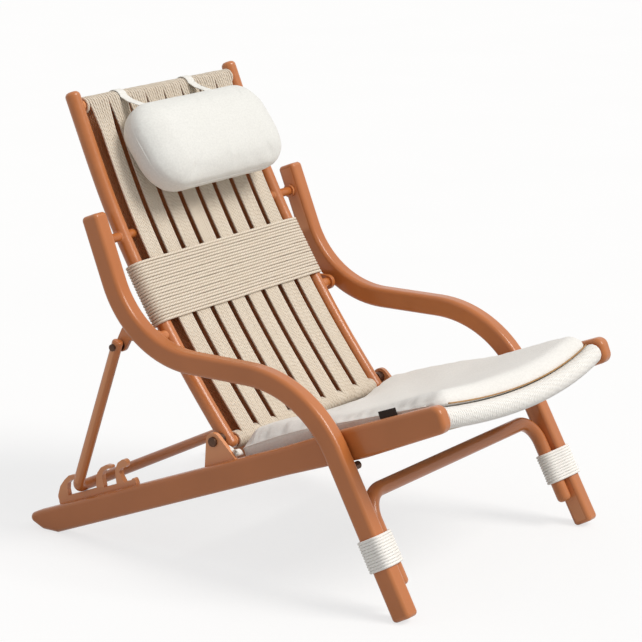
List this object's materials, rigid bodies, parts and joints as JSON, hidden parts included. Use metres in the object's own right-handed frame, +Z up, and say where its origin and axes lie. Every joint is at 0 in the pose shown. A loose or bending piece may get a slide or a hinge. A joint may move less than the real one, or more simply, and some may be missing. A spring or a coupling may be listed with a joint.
{
  "type": "outdoor lounge chair",
  "caption": "Low reclining lounge chair: painted tube frame, rope back, thin seat cushion, head pillow, and a prop that drops into notched plates to set the back.",
  "frame": {"origin": "centre of the footprint at floor level", "axes": "+Z up, the sitter faces -Y, +X is the sitter's left"},
  "size_m": [0.7138, 0.9872, 0.879],
  "materials": {
    "frame_paint": "satin terracotta powder coat",
    "rope": "twisted outdoor rope",
    "seat_cloth": "off-white woven outdoor cloth",
    "pillow_cloth": "off-white woven outdoor cloth",
    "webbing": "narrow cloth tape",
    "tag": "plain dark woven tag",
    "dark_metal": "dark brown fasteners"
  },
  "bodies": {
    "seat_frame": {"side_rail_left": "frame_paint", "side_rail_right": "frame_paint", "notched_plate_left": "frame_paint", "notched_plate_right": "frame_paint", "back_hinge_ear_left": "frame_paint", "back_hinge_ear_right": "frame_paint", "back_hinge_bolt_left": "dark_metal", "back_hinge_bolt_right": "dark_metal", "hinge_spacers": "dark_metal", "front_seat_bar": "frame_paint", "front_bar_rope": "rope", "rear_seat_bar": "frame_paint", "seat_strap_1": "rope", "seat_strap_2": "rope", "seat_strap_3": "rope", "seat_strap_4": "rope", "seat_strap_5": "rope", "seat_strap_6": "rope", "seat_strap_7": "rope", "seat_strap_8": "rope", "seat_cushion": "seat_cloth", "cushion_tag": "tag", "cushion_ties": "webbing"},
    "back_frame": {"back_stile_left": "frame_paint", "back_stile_right": "frame_paint", "back_top_bar": "frame_paint", "back_lower_bar": "frame_paint", "top_bar_rope": "rope", "back_rope_band": "rope", "back_strap_1": "rope", "back_strap_2": "rope", "back_strap_3": "rope", "back_strap_4": "rope", "back_strap_5": "rope", "back_strap_6": "rope", "back_strap_7": "rope", "back_strap_8": "rope", "head_pillow": "pillow_cloth", "pillow_loop_left": "webbing", "pillow_loop_right": "webbing", "prop_bracket_left": "frame_paint", "prop_bracket_right": "frame_paint", "prop_pivot_bolt_left": "dark_metal", "prop_pivot_bolt_right": "dark_metal", "prop_pivot_washers": "dark_metal", "prop_pivot_nuts": "dark_metal"},
    "arm_frame": {"arm_and_leg_left": "frame_paint", "arm_and_leg_right": "frame_paint", "front_stretcher": "frame_paint", "leg_lashing_left": "rope", "leg_lashing_right": "rope", "arm_pin_left": "frame_paint", "arm_pin_right": "frame_paint", "rail_support_peg_left": "dark_metal", "rail_support_peg_right": "dark_metal"},
    "prop": {"prop_frame": "frame_paint"}
  },
  "joints": [
    {"name": "back_recline", "type": "hinge", "parent": "seat_frame", "child": "back_frame", "pos_m": [0, 0.04686, 0.24841], "axis": [1, 0, 0], "range_deg": [0, 16]},
    {"name": "arm_swing", "type": "hinge", "parent": "back_frame", "child": "arm_frame", "pos_m": [0, 0.29013, 0.60879], "axis": [1, 0, 0], "range_deg": [-13.3, 0]},
    {"name": "prop_swing", "type": "hinge", "parent": "back_frame", "child": "prop", "pos_m": [0, 0.266, 0.405], "axis": [1, 0, 0], "range_deg": [-11.4, 0]}
  ],
  "couplings": [
    {"joint": "arm_swing", "follows": "back_recline", "ratio": -0.82},
    {"joint": "prop_swing", "follows": "back_recline", "ratio": -0.7}
  ]
}
